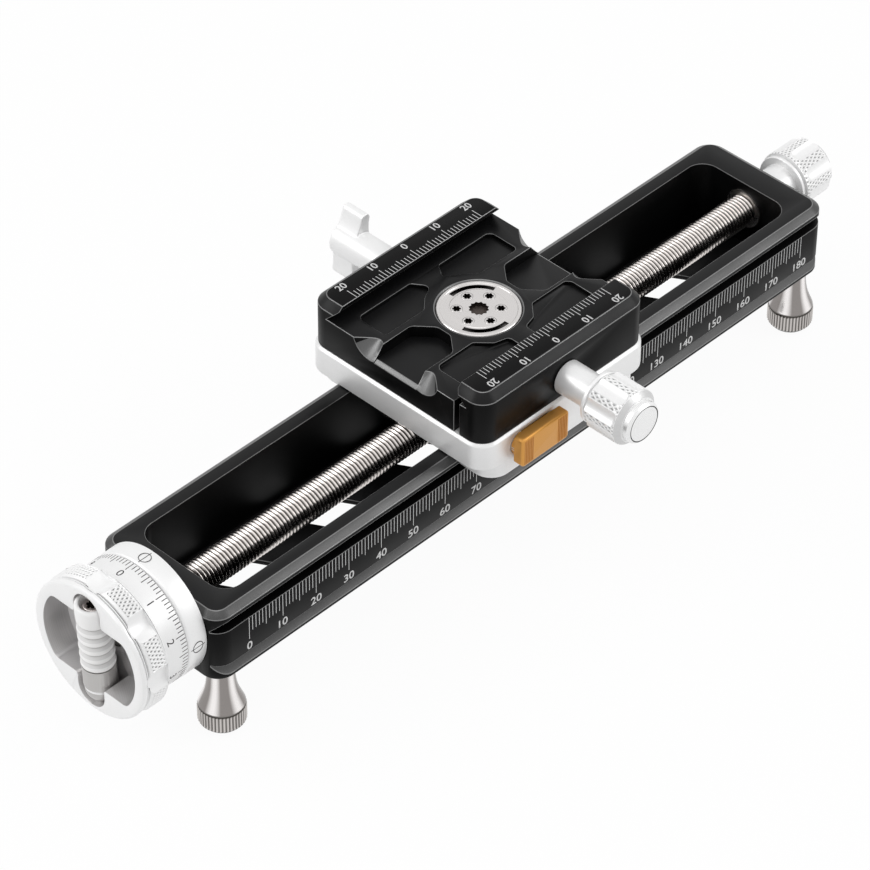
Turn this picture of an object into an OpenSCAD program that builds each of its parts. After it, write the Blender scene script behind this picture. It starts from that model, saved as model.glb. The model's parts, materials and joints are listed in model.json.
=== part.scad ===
// Macro focusing rail, with a quick-release clamp that turns on a lead-screw carriage.
// +X runs along the rail away from the main knob, +Z is up, and the scale is on the -Y side.
// The origin is the centre of the rail's flat underside.

/* [Rail] */
// Length of the rail body
rail_l = 198.6; // [190:0.2:240]
// Width over the dovetail lips
rail_w = 37; // [36.6:0.1:37.4]
// Height of the rail body
rail_h = 18.58; // [18.5:0.02:18.7]
// Radius of the rail's upright corners
rail_corner_r = 4.5; // [4:0.1:5]
// Thickness of the trough's floor
floor_t = 1.28; // [1:0.02:2]
// Half width of the trough
trough_half_w = 13.65; // [13.5:0.05:14]
// Spacing of the floor windows along the rail
window_pitch = 27.6; // [26:0.1:29]
// Number of floor windows
window_count = 6; // [1:1:6]

/* [Screw drive] */
// Outer radius of the lead screw
screw_r = 4; // [3.8:0.1:4]
// Radius of the lead screw's journals
journal_r = 3; // [2.6:0.1:3.2]
// Height of the lead screw's axis above the underside
screw_z = 11.25; // [11:0.05:11.4]
// Radius of the fixed index collar
collar_r = 15.6; // [15.4:0.1:15.8]
// Radius of the dial ring
dial_r = 15.46; // [15.2:0.02:15.6]
// Radius over the main knob's lobes
knob_r = 17.2; // [17:0.1:17.6]
// Number of lobes and flutes on the main knob
knob_lobes = 8; // [6:1:10]
// Depth of the main knob's face pocket
pocket_d = 6.9; // [6.5:0.1:6.9]

/* [Carriage] */
// Half side of the square carriage plate
plate_half = 27.2; // [27:0.1:28]
// Gap between the rail's top and the plate
plate_gap = 0.3; // [0.28:0.02:0.4]
// Top of the plate above the underside
plate_top = 26; // [25.8:0.1:26]
// Half length of the claws
claw_half = 24.1; // [20:0.1:24.5]
// Lowest point of the claws
claw_z = 14.7; // [14.2:0.1:15]
// Travel of the release button
press = 1; // [0.5:0.1:1]

/* [Clamp] */
// Half side of the square clamp
clamp_half = 26.6; // [26.2:0.1:26.6]
// Height of the clamp's floor
clamp_floor = 34.8; // [34.6:0.1:35]
// Top of the jaws
clamp_top = 39.2; // [39:0.1:39.6]
// Radius of the pan post
post_r = 8.5; // [8:0.1:8.6]
// Height of the jaw knob's and the lock lever's axis
cross_z = 30.9; // [30.6:0.1:31]

/* [Feet] */
// Distance of each foot from the rail's middle
foot_x = 94.1; // [94:0.1:94.5]
// Distance of each foot from the rail's centre line
foot_y = 13.85; // [13.6:0.05:13.9]
// Height of the feet
foot_h = 17.2; // [14:0.1:22]

/* [Hidden] */
$fn = 96;

// Allowance for running fits, and the overlap that cutters have past a surface
run = 0.05;
past = 1;

rail_half_l = rail_l / 2;
rail_half_w = rail_w / 2;
// The rail's dovetail grooves, the same shape above and below the scale face
groove_d = 2.6;
lip_low = 16.3;
groove_floor = 13.45;
lower_roof = 3.75;
lower_lip = 0.85;
// Ends of the trough
trough_x0 = -92;
trough_x1 = 91.2;
trough_corner_r = 4.5;
// Floor windows: a parallelogram whose ends lean back by a set angle
first_window_x = -71;
window_l = 11.1;
window_half_w = 11.5;
window_lean = 30;
window_corner_r = 2.5;

// Stations along the front end, counted from the rail's end face outwards
bush_r = 5;
bush_wall = 0.05;
collar_x = -rail_half_l - 5;
dial_x0 = collar_x - 0.3;
dial_x1 = dial_x0 - 6.2;
knob_x0 = dial_x1 - 0.1;
knob_x1 = -118.9;
pocket_x = knob_x1 + pocket_d;
hub_r = 10;
nose_r = 4.2;
collar_bore_r = 4.6;
collar_screw_y = 10.4;

// Stations along the rear end
rear_x0 = rail_half_l + 0.3;
rear_x1 = 116;
rear_x2 = 117;

// The folding crank leans out of its slot by a small angle
crank_lean = 3;
crank_x = -116;
crank_z = -0.5;
crank_pin_r = 1.2;
spindle_l = 22.6;
spindle_r = 1.5;
knuckle_r = 3.6;
stem_l = 6.98;
grip_z = 7.05;
slot_r = 4.1;
slot_reach = 11.6;

plate_bottom = rail_h + plate_gap;
// Release slide and its button
slide_x0 = -18;
slide_x1 = -7;
slide_z0 = 19.3;
slide_z1 = 23.2;
button_x = -11;

// Pan post and the clamp's recess for its cap
post_z0 = 24.2;
cap_z0 = 33.3;
cap_r = 9.62;
recess_r = 9.7;
cap_hole_r = 2.1;
cap_screw_ring = 4.95;
cap_screw_turn = 15.5;

// Jaws
clamp_z0 = 26.03;
seam_y0 = -19.5;
seam_y1 = -17.9;
jaw_lip_y = 18.1;
undercut = 3.3;
guide_x = 18;
guide_z = 30.4;
guide_r = 1.9;

// Rounded outlines
function unit(v) = v / norm(v);
function turned(p, a) = [p.x * cos(a) - p.y * sin(a), p.x * sin(a) + p.y * cos(a)];
function corner_arc(a, b, c, r, n) =
    let (u = unit(a - b), v = unit(c - b), half = acos(u * v) / 2,
         centre = b + unit(u + v) * r / sin(half), start = b + u * r / tan(half),
         side = cross(u, v) < 0 ? 1 : -1)
    [for (i = [0:n]) centre + turned(start - centre, side * (180 - 2 * half) * i / n)];
function rounded(p, r, n = 5) =
    [for (i = [0:len(p) - 1])
        each corner_arc(p[(i + len(p) - 1) % len(p)], p[i], p[(i + 1) % len(p)], r, n)];

// A round bar along X, from x0 to x1
module bar_x(x0, x1, r, z = screw_z, y = 0)
    translate([min(x0, x1), y, z]) rotate([0, 90, 0]) cylinder(h = abs(x1 - x0), r = r);

// A cone along X, with its radius at each end
module cone_x(x0, r0, x1, r1, z = screw_z, y = 0)
    translate([x0, y, z]) rotate([0, x1 > x0 ? 90 : -90, 0]) cylinder(h = abs(x1 - x0), r1 = r0, r2 = r1);

// A round bar along Y, from y0 to y1
module bar_y(y0, y1, r, x = 0, z = cross_z)
    translate([x, max(y0, y1), z]) rotate([90, 0, 0]) cylinder(h = abs(y1 - y0), r = r);

// A cone along Y, with its radius at each end
module cone_y(y0, r0, y1, r1, x = 0, z = cross_z)
    translate([x, y0, z]) rotate([y1 > y0 ? -90 : 90, 0, 0]) cylinder(h = abs(y1 - y0), r1 = r0, r2 = r1);

// A box given by its two corners
module box(a, b) translate(a) cube(b - a);

// An outline in the YZ plane, drawn out along X
module along_x(outline, x0, x1)
    translate([x0, 0, 0]) rotate([90, 0, 90]) linear_extrude(x1 - x0) polygon(outline);

// An outline in the XZ plane, drawn out along Y
module along_y(outline, y0, y1)
    translate([0, y1, 0]) rotate([90, 0, 0]) linear_extrude(y1 - y0) polygon(outline);

// A block with round upright corners and a bevel round its top: across by up
module bevelled_block(hx, hy, r, z0, z1, across, up) {
    for (turn = [0, 90]) {
        a = turn == 0 ? hx : hy;
        b = turn == 0 ? hy : hx;
        rotate(turn) along_x([[-b, z0], [b, z0], [b, z1 - up], [b - across, z1],
            [-b + across, z1], [-b, z1 - up]], -(a - r), a - r);
    }
    for (sx = [-1, 1], sy = [-1, 1]) translate([sx * (hx - r), sy * (hy - r), 0]) {
        translate([0, 0, z0]) cylinder(h = z1 - up - z0, r = r);
        translate([0, 0, z1 - up]) cylinder(h = up, r1 = r, r2 = r - across);
    }
}

// Rail

module window_cut(x) {
    lean = window_half_w * tan(window_lean);
    corners = [[-window_l / 2 + lean, -window_half_w], [window_l / 2 + lean, -window_half_w],
        [window_l / 2 - lean, window_half_w], [-window_l / 2 - lean, window_half_w]];
    translate([x, 0, -past]) linear_extrude(floor_t + 2 * past) polygon(rounded(corners, window_corner_r));
}

module rail_frame() color("#1b1b1d") difference() {
    bevelled_block(rail_half_l, rail_half_w, rail_corner_r, 0, rail_h, 1.7, 1.3);
    for (side = [0, 1]) mirror([0, side, 0]) {
        inner = rail_half_w - groove_d;
        outer = rail_half_w + past;
        along_x([[outer, groove_floor], [outer, lip_low + past], [rail_half_w, lip_low],
            [inner, lip_low - groove_d], [inner, groove_floor]], -rail_half_l - past, rail_half_l + past);
        along_x([[outer, lower_roof], [inner, lower_roof], [inner, lower_lip + groove_d],
            [rail_half_w, lower_lip], [outer, lower_lip - past]], -rail_half_l - past, rail_half_l + past);
    }
    translate([0, 0, floor_t]) linear_extrude(rail_h)
        polygon(rounded([[trough_x0, -trough_half_w], [trough_x1, -trough_half_w],
            [trough_x1, trough_half_w], [trough_x0, trough_half_w]], trough_corner_r, 8));
    for (i = [0:window_count - 1]) window_cut(first_window_x + i * window_pitch);
    bar_x(-rail_half_l - past, trough_x0 + past, bush_r);
    bar_x(trough_x1 - past, rail_half_l + past, bush_r);
    for (side = [-1, 1]) bar_x(-rail_half_l - past, -rail_half_l + 6, 1.25, y = side * collar_screw_y);
    for (sx = [-1, 1], sy = [-1, 1]) translate([sx * foot_x, sy * foot_y, -past])
        cylinder(h = 8 + past, r = 1.5);
}

module bush(x0, x1) difference() {
    bar_x(x0, x1, bush_r);
    bar_x(x0 - past, x1 + past, journal_r + bush_wall);
}

module front_bush() color("#b08d57") bush(-rail_half_l, trough_x0);

module rear_bush() color("#b08d57") bush(trough_x1, rail_half_l);

module thrust_washers() color("#c9cacc") {
    for (x = [-rail_half_l - 0.28, trough_x0, trough_x1 - 0.28]) difference() {
        bar_x(x, x + 0.28, x == -rail_half_l - 0.28 ? nose_r : 4.9);
        bar_x(x - past, x + past, journal_r + bush_wall);
    }
}

module index_collar() color("#d8d9da") difference() {
    union() {
        bar_x(-rail_half_l, collar_x + 0.4, collar_r);
        cone_x(collar_x + 0.4, collar_r, collar_x, collar_r - 0.4);
    }
    bar_x(-rail_half_l + past, collar_x - past, collar_bore_r);
    for (side = [-1, 1]) {
        bar_x(-rail_half_l + past, collar_x - past, 1.6, y = side * collar_screw_y);
        bar_x(collar_x + 3, collar_x - past, 2.9, y = side * collar_screw_y);
    }
}

module collar_screws() color("#8c8d90") for (side = [-1, 1]) difference() {
    union() {
        bar_x(collar_x + 3, collar_x + 0.4, 2.8, y = side * collar_screw_y);
        bar_x(collar_x + 3, -rail_half_l + 5.5, 1.25, y = side * collar_screw_y);
    }
    translate([collar_x + 2, side * collar_screw_y, screw_z]) rotate([0, -90, 0])
        cylinder(h = 4, r = 1.3, $fn = 6);
}

// A foot with its stud, at a corner given by its signs
module foot(sx, sy) color("#a7a39c") translate([sx * foot_x, sy * foot_y, 0]) {
    knurl_z = -16;
    knurl_h = 4.7;
    // The trumpet-shaped neck, narrow under the rail and wide at the knurled base
    neck = [[3.04, 0], [3.05, -2], [3.2, -4.4], [3.5, -6.6], [4, -8.4], [4.6, -9.9], [5.3, -11.3]];
    base = [[5.45, -11.6], [5.45, knurl_z], [4.2, -foot_h], [0, -foot_h]];
    rotate_extrude() polygon(concat([[0, 0]], neck, base));
    cylinder(h = knurl_h + 2, r = 1.5);
}

module foot_front_near() foot(-1, -1);
module foot_front_far() foot(-1, 1);
module foot_rear_near() foot(1, -1);
module foot_rear_far() foot(1, 1);

// Screw drive

module lead_screw() color("#b9babc") difference() {
    union() {
        bar_x(trough_x0 + 0.4, trough_x1 - 0.4, screw_r);
        bar_x(knob_x0 + 1, rear_x1 - 3, journal_r);
    }
    bar_x(knob_x0, knob_x0 + 9, 1.25);
}

module dial_ring() color("#dcdcdc") difference() {
    bar_x(dial_x0, dial_x1, dial_r);
    bar_x(dial_x0 + past, dial_x1 - past, hub_r);
}

module knob_blank() {
    bar_x(knob_x0, knob_x0 - 0.5, knob_r - 0.8);
    bar_x(knob_x0 - 0.5, knob_x1 + 0.5, knob_r);
    cone_x(knob_x1 + 0.5, knob_r, knob_x1, knob_r - 0.5);
}

module main_knob() color("#e2e2e2") difference() {
    flute_r = 4.8;
    flute_d = 1.3;
    pocket_r = 14.2;
    pocket_half_h = 9;
    union() {
        knob_blank();
        bar_x(knob_x0, dial_x0, hub_r);
        bar_x(dial_x0, -rail_half_l - 0.3, nose_r);
    }
    for (i = [0:knob_lobes - 1]) translate([0, 0, screw_z]) rotate([i * 360 / knob_lobes, 0, 0])
        bar_x(knob_x0 + past, knob_x1 + 1, flute_r, z = knob_r - flute_d + flute_r);
    intersection() {
        bar_x(pocket_x, knob_x1 - past, pocket_r);
        box([knob_x1 - past, -pocket_r, screw_z - pocket_half_h],
            [pocket_x, pocket_r, screw_z + pocket_half_h]);
    }
    box([knob_x1 - past, -slot_r, screw_z - slot_reach], [pocket_x, slot_r, screw_z + slot_reach]);
    for (side = [-1, 1]) bar_x(pocket_x, knob_x1 - past, slot_r, z = screw_z + side * slot_reach);
    bar_x(-rail_half_l + past, knob_x0 + 1, journal_r);
    bar_x(knob_x0 + 2, pocket_x - past, 1.5);
    bar_x(pocket_x - past, pocket_x + 1.6, 3);
    bar_y(-9, 9, crank_pin_r, x = crank_x, z = crank_z);
}

module knob_screw() color("#8c8d90") difference() {
    union() {
        bar_x(pocket_x + 0.05, pocket_x + 1.6, 2.9);
        bar_x(pocket_x + 1.6, knob_x0 + 8, 1.25);
    }
    translate([pocket_x + 1, 0, screw_z]) rotate([0, -90, 0]) cylinder(h = 3, r = 1.4, $fn = 6);
}

module crank_pin() color("#9a9b9e") bar_y(-8.8, 8.8, crank_pin_r, x = crank_x, z = crank_z);

// Puts a piece drawn upright, with the crank's pivot at its origin, at the leaning crank
module on_crank() translate([crank_x, 0, crank_z]) rotate([0, -crank_lean, 0]) children();

module crank_stem() color("#a9aaac") on_crank() difference() {
    stem_r = 3.8;
    union() {
        sphere(r = knuckle_r);
        rotate_extrude() polygon([[0, 0.5], [3.4, 0.5], [stem_r, 1.3], [stem_r, stem_l], [0, stem_l]]);
        cylinder(h = spindle_l, r = spindle_r);
    }
    rotate([90, 0, 0]) cylinder(h = 12, r = crank_pin_r + run, center = true);
    translate([0, 0, spindle_l - 5]) cylinder(h = 6, r = 0.8);
}

module crank_end_screw() color("#77787b") on_crank() difference() {
    union() {
        translate([0, 0, spindle_l]) cylinder(h = 1.7, r = 2.2);
        translate([0, 0, spindle_l - 4.8]) cylinder(h = 4.8, r = 0.8);
    }
    translate([0, 0, spindle_l + 0.7]) cylinder(h = 2, r = 1, $fn = 6);
}

module crank_grip() color("#ececec") on_crank() {
    bore_r = spindle_r + run;
    mouth_r = 2.75;
    mouth_z = spindle_l - 0.1;
    crest_r = 3.88;
    rib_pitch = 2.57;
    rib_count = 5;
    grip_top = 25;
    // Each rib is a round-backed ring, widest low down, with a sharp notch above it
    ribs = [for (i = [0:rib_count - 1]) let (z = grip_z + i * rib_pitch)
        each [[3.3, z], [3.7, z + 0.12], [crest_r, z + 0.6], [crest_r, z + 1.1],
            [3.65, z + 1.95], [3.3, z + 2.45]]];
    rotate_extrude() polygon(concat([[bore_r, grip_z]], ribs,
        [[3.75, grip_z + rib_count * rib_pitch], [crest_r, grip_top - 0.8], [3.4, grip_top],
        [mouth_r, grip_top], [mouth_r, mouth_z], [bore_r, mouth_z]]));
}

// Profile of the two small fluted knobs, as radius against distance from the face
function small_knob(neck_r, neck_l, body_r, body_l) = [
    [0, 0], [neck_r, 0], [neck_r, neck_l], [body_r - 0.5, neck_l], [body_r - 0.5, neck_l + 0.9],
    [body_r - 1.3, neck_l + 1], [body_r - 1.3, neck_l + 1.4], [body_r, neck_l + 2.2],
    [body_r, neck_l + body_l - 0.7], [body_r - 0.8, neck_l + body_l], [0, neck_l + body_l]];

// Eight scoops round a small knob, cut along its axis from a first angle
module small_flutes(body_r, z0, z1, first) for (i = [0:7]) rotate(first + i * 45)
    translate([body_r + 2, 0, z0]) cylinder(h = z1 - z0, r = 2.8);

module rear_knob() color("#dededd") {
    neck_l = 5.1;
    body_r = 7.3;
    body_l = rear_x1 - rear_x0 - neck_l;
    difference() {
        translate([rear_x0, 0, screw_z]) rotate([0, 90, 0]) difference() {
            rotate_extrude() polygon(small_knob(5, neck_l, body_r, body_l));
            small_flutes(body_r, neck_l + 2, neck_l + body_l - 1, 11.5);
        }
        bar_x(rear_x0 - past, rear_x1 - 3, journal_r);
        bar_x(rear_x1 - 1, rear_x1 + past, 4.6);
        translate([rear_x0 + 1.9, 0, screw_z - 6]) cylinder(h = 6, r = 0.8);
    }
}

module rear_knob_cap() color("#e6e6e6") {
    bar_x(rear_x1 - 1, rear_x1, 4.6);
    bar_x(rear_x1, rear_x2 - 0.4, 5.6);
    cone_x(rear_x2 - 0.4, 5.6, rear_x2, 5.2);
}

module rear_set_screw() color("#77787b") translate([rear_x0 + 1.9, 0, screw_z - 4.8])
    cylinder(h = 1.8, r = 0.8);

// Carriage

// Outline of one claw, from the plate down to the tip that hooks under the rail's lip
function claw(gap) = let (face = rail_half_w + gap)
    [[plate_half, claw_z], [plate_half, plate_bottom + past], [face, plate_bottom + past],
    [face, lip_low], [face - (lip_low - claw_z), claw_z]];

module slide_cut(clear) {
    box([slide_x0 - clear, -21, slide_z0 - clear], [slide_x1 + clear, 13 + press + clear, slide_z1 + clear]);
    box([slide_x0 - clear, 3, plate_bottom - past], [slide_x1 + clear, 12.3 + press + clear, slide_z1]);
}

// The stem between the button and the slide: a bar with round edges, between y0 and y1
module button_stem(y0, y1, r) {
    stem_half = 4.1;
    stem_z = 21.7;
    for (side = [-1, 1]) bar_y(y0, y1, r, x = button_x + side * stem_half, z = stem_z);
    box([button_x - stem_half, min(y0, y1), stem_z - r], [button_x + stem_half, max(y0, y1), stem_z + r]);
}

module carriage_plate() color("#cfd0d1") difference() {
    gib_seat = 1.6;
    union() {
        bevelled_block(plate_half, plate_half, 5, plate_bottom, plate_top, 0.6, 0.6);
        for (side = [0, 1]) mirror([0, side, 0]) intersection() {
            along_x(claw(side == 0 ? gib_seat : 0.14), -claw_half, claw_half);
            linear_extrude(plate_top) polygon(rounded([[-claw_half, -plate_half], [claw_half, -plate_half],
                [claw_half, plate_half], [-claw_half, plate_half]], 5, 8));
        }
    }
    slide_cut(run);
    button_stem(-plate_half - past, -19.6, 3.1 + run);
    bar_y(13, 22, 1.9, x = -12.5, z = 21.25);
    translate([0, 0, post_z0]) cylinder(h = 3, r = post_r);
    difference() {
        translate([0, 0, plate_top - 0.5]) cylinder(h = 1, r = 15.5);
        translate([0, 0, plate_top - 1]) cylinder(h = 2, r = 9.4);
    }
    for (i = [0:5]) rotate(cap_screw_turn + i * 60)
        translate([cap_screw_ring, 0, 20.4]) cylinder(h = 5, r = 0.9);
    for (x = [-16, 0, 16]) bar_y(19, plate_half + past, 1.4, x = x, z = 16.7);
}

module glide_strips() color("#e8e6df") for (side = [-1, 1])
    box([-claw_half, side * 15.2 - 1.2, rail_h + 0.02], [claw_half, side * 15.2 + 1.2, plate_bottom]);

module gib_strip() color("#b08d57") {
    near = rail_half_w + 0.1;
    far = rail_half_w + 1.5;
    drop = lip_low - claw_z;
    along_x([[near, plate_bottom - 0.1], [near, lip_low], [near - drop, claw_z + 0.1],
        [far - drop, claw_z + 0.1], [far, lip_low], [far, plate_bottom - 0.1]],
        -claw_half + 4, claw_half - 4);
}

module gib_screws() color("#77787b") for (x = [-16, 0, 16]) difference() {
    bar_y(rail_half_w + 1.5, plate_half - 0.6, 1.4, x = x, z = 16.7);
    translate([x, plate_half - 2, 16.7]) rotate([-90, 0, 0]) cylinder(h = 3, r = 0.8, $fn = 6);
}

module pan_post() color("#9fa0a3") difference() {
    translate([0, 0, post_z0]) cylinder(h = cap_z0 - post_z0, r = post_r);
    for (i = [0:5]) rotate(cap_screw_turn + i * 60) translate([cap_screw_ring, 0, post_z0 - past])
        cylinder(h = 12, r = 0.9);
    translate([0, 0, cap_z0 - 3]) cylinder(h = 4, r = cap_hole_r);
}

module arc_slot(turn) rotate(turn) translate([0, 0, cap_z0 + 0.5]) difference() {
    linear_extrude(2) difference() {
        circle(r = 8.2);
        circle(r = 7.2);
    }
    translate([-10, -10, -past]) cube([10, 20, 4]);
    for (side = [0, 1]) mirror([0, side, 0]) rotate(25) translate([-10, 0, -past]) cube([22, 10, 4]);
}

module pan_cap() color("#d9d9d8") difference() {
    translate([0, 0, cap_z0]) cylinder(h = clamp_floor - cap_z0, r = cap_r);
    translate([0, 0, cap_z0 - past]) cylinder(h = 4, r = cap_hole_r);
    for (i = [0:5]) rotate(cap_screw_turn + i * 60) translate([cap_screw_ring, 0, 0]) {
        translate([0, 0, cap_z0 - past]) cylinder(h = 4, r = 0.95);
        translate([0, 0, cap_z0 + 0.5]) cylinder(h = 3, r = 1.6);
    }
    for (turn = [57, 237]) arc_slot(turn);
}

module pan_cap_screws() color("#8c8d90") for (i = [0:5]) rotate(cap_screw_turn + i * 60)
    translate([cap_screw_ring, 0, 0]) difference() {
        union() {
            translate([0, 0, 20.6]) cylinder(h = cap_z0 + 0.5 - 20.6, r = 0.88);
            translate([0, 0, cap_z0 + 0.5]) cylinder(h = 0.8, r = 1.5);
        }
        translate([0, 0, cap_z0 + 0.7]) cylinder(h = 2, r = 0.8, $fn = 6);
    }

module pan_washer() color("#e8e6df") difference() {
    translate([0, 0, plate_top - 0.5]) cylinder(h = 0.5, r = 15.4);
    translate([0, 0, plate_top - 1]) cylinder(h = 2, r = 9.5);
}

// Release slide

module release_slider() color("#bfc0c2") {
    box([slide_x0, -20.9, slide_z0], [slide_x1, 13, slide_z1]);
    box([slide_x0, 8, 7], [slide_x1, 12.3, slide_z0]);
    button_stem(-28.4, -20.8, 3.1);
}

module half_nut() color("#c8a24a") difference() {
    box([slide_x0 + 0.5, 0.6, 7], [slide_x1 - 0.5, 8, 15.6]);
    bar_x(slide_x0 - past, slide_x1 + past, screw_r + run);
}

module push_button() color("#d99a1f") {
    y0 = -31;
    y1 = -28.4;
    half_l = 7.45;
    half_h = 3.93;
    middle_z = 22;
    outline = rounded([[-half_l, -half_h], [half_l, -half_h], [half_l, half_h], [-half_l, half_h]], 1);
    translate([button_x, 0, middle_z]) {
        along_y(outline, y0 + 0.5, y1);
        along_y([for (p = outline) [p.x * 0.94, p.y * 0.89]], y0, y0 + 0.5);
    }
}

module release_spring() color("#a7a8aa") difference() {
    bar_y(13 + press + 0.1, 22, 1.7, x = -12.5, z = 21.25);
    bar_y(13, 23, 1.1, x = -12.5, z = 21.25);
}

// Clamp

// The block that both jaws are cut from, with the camera plate's channel already in it
module clamp_blank() difference() {
    bevelled_block(clamp_half, clamp_half, 4.5, clamp_z0, clamp_top, 2, 2);
    along_x([[-jaw_lip_y - undercut, clamp_floor], [jaw_lip_y + undercut, clamp_floor],
        [jaw_lip_y, clamp_floor + undercut], [jaw_lip_y, clamp_top + past], [-jaw_lip_y, clamp_top + past],
        [-jaw_lip_y, clamp_floor + undercut]], -clamp_half - past, clamp_half + past);
}

// Pockets in the clamp's floor on the +X side
module floor_pockets() {
    pocket_z = clamp_floor - 1;
    notch_z = 31.8;
    translate([0, 0, pocket_z]) linear_extrude(2)
        polygon(rounded([[21.2, 8.2], [21.2, 15.8], [20.2, 16.8], [4.6, 16.8],
            [2.7, 14], [2.7, 12.8], [6, 11], [9, 8.3]], 1.1, 5));
    translate([0, 0, pocket_z]) linear_extrude(2)
        polygon(rounded([[21.2, -19], [21.2, -8.5], [20.2, -7.3], [9.6, -7.3],
            [6.3, -10.8], [3, -11.7], [2.7, -12.5], [2.7, -19]], 1.1, 5));
    translate([0, 0, notch_z]) linear_extrude(5)
        polygon(rounded([[31, -6.4], [31, 6.4], [15, 6.4], [11.2, 2], [11.2, -2], [15, -6.4]], 2, 6));
    along_y([[clamp_half - 0.8, notch_z + 0.01], [clamp_half + past, notch_z - 1.8],
        [clamp_half + past, notch_z + past]], -6.4, 6.4);
    for (side = [-1, 1]) cone_x(22, 0.05, 28, 6.4, z = 36, y = side * 8);
}

module clamp_body() color("#151516") difference() {
    intersection() {
        clamp_blank();
        box([-30, seam_y1, clamp_z0 - past], [30, 30, clamp_top + past]);
    }
    floor_pockets();
    mirror([1, 0, 0]) floor_pockets();
    translate([0, 0, clamp_z0 - past]) cylinder(h = 12, r = post_r + run);
    translate([0, 0, cap_z0 - run]) cylinder(h = 3, r = recess_r);
    translate([0, 0, clamp_floor - 0.3]) cylinder(h = 0.31, r1 = recess_r, r2 = recess_r + 0.3);
    for (side = [-1, 1]) {
        bar_y(seam_y1 - past, -6, guide_r, x = side * guide_x, z = guide_z);
        bar_y(seam_y1 - past, -10, 3, x = side * guide_x, z = guide_z);
    }
    bar_y(seam_y1 - past, -9.6, 2.5 + run, z = cross_z);
    bar_y(11, clamp_half + past, 2.5 + run, z = cross_z);
    bar_y(7, 12, 1.9, z = cross_z);
}

module guide_pins() color("#b4b5b7") for (side = [-1, 1])
    bar_y(-23.6, -6, guide_r, x = side * guide_x, z = guide_z);

module jaw_springs() color("#a7a8aa") for (side = [-1, 1]) difference() {
    bar_y(seam_y1 + 0.2, -10, 2.8, x = side * guide_x, z = guide_z);
    bar_y(seam_y1 - past, -9, 2.1, x = side * guide_x, z = guide_z);
}

module moving_jaw() color("#151516") difference() {
    intersection() {
        clamp_blank();
        union() {
            box([-30, -30, clamp_z0 - past], [30, seam_y0, clamp_top + past]);
            box([-30, -30, clamp_floor + 0.05], [30, -10, clamp_top + past]);
        }
    }
    for (side = [-1, 1]) bar_y(seam_y0 + past, -25.4, guide_r + run, x = side * guide_x, z = guide_z);
    bar_y(-16, -30, 2.5 + run, z = cross_z);
}

module jaw_screw() color("#b9babc") bar_y(-11.5, -44, 2.5, z = cross_z);

module jaw_knob() color("#dededd") {
    y0 = -clamp_half - 0.1;
    sleeve_l = 9.6;
    body_r = 6.8;
    body_l = 47.6 + y0 - sleeve_l;
    difference() {
        translate([0, y0, cross_z]) rotate([90, 0, 0]) difference() {
            rotate_extrude() polygon(small_knob(4.1, sleeve_l, body_r, body_l));
            small_flutes(body_r, sleeve_l + 2, sleeve_l + body_l - 1, 22.5);
        }
        bar_y(y0 + past, -44, 2.5, z = cross_z);
        bar_y(-46.6, -49, 4.2, z = cross_z);
    }
}

module jaw_knob_cap() color("#e6e6e6") {
    bar_y(-46.6, -47.6, 4.2, z = cross_z);
    bar_y(-47.6, -49.3, 5.1, z = cross_z);
    cone_y(-49.3, 5.1, -49.6, 4.8, z = cross_z);
}

// Wing lever: blades with hollow flanks, run out from the hub to round tips
module pan_lock_lever() color("#d9dadb") difference() {
    y0 = clamp_half + 0.3;
    blade_y = 36.9;
    blade_end = 43.2;
    hub = 4;
    tip_r = 1.35;
    reach = 7.6;
    steps = 8;
    flank = [for (i = [0:steps]) let (s = i / steps) [tip_r + (hub - tip_r) * pow(1 - s, 2), s * reach]];
    union() {
        bar_y(y0, blade_end, hub, z = cross_z);
        translate([0, 0, cross_z]) rotate([0, 13, 0]) for (side = [0, 1]) mirror([0, 0, side]) {
            along_y(concat(flank, [for (i = [steps:-1:0]) [-flank[i].x, flank[i].y]]), blade_y, blade_end);
            bar_y(blade_y, blade_end, tip_r, z = reach);
        }
    }
    bar_y(y0 - past, 36, 2.5, z = cross_z);
}

module pan_lock_screw() color("#b9babc") bar_y(11.1, 36, 2.5, z = cross_z);

module pan_lock_shoe() color("#e8e6df") bar_y(8.62, 11.05, 1.85, z = cross_z);

rail_frame();
front_bush();
rear_bush();
thrust_washers();
index_collar();
collar_screws();
foot_front_near();
foot_front_far();
foot_rear_near();
foot_rear_far();
lead_screw();
dial_ring();
main_knob();
knob_screw();
crank_pin();
rear_knob();
rear_knob_cap();
rear_set_screw();
crank_stem();
crank_end_screw();
crank_grip();
carriage_plate();
glide_strips();
gib_strip();
gib_screws();
pan_post();
pan_cap();
pan_cap_screws();
pan_washer();
release_slider();
half_nut();
push_button();
release_spring();
clamp_body();
guide_pins();
jaw_springs();
moving_jaw();
jaw_screw();
jaw_knob();
jaw_knob_cap();
pan_lock_lever();
pan_lock_screw();
pan_lock_shoe();
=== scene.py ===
"""The looks of a macro focusing rail: its finishes, engraving and fine forms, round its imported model."""

import json
from math import atan2, cos, degrees, hypot, pi, radians, sin

import bpy
from mathutils import Matrix, Vector

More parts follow.
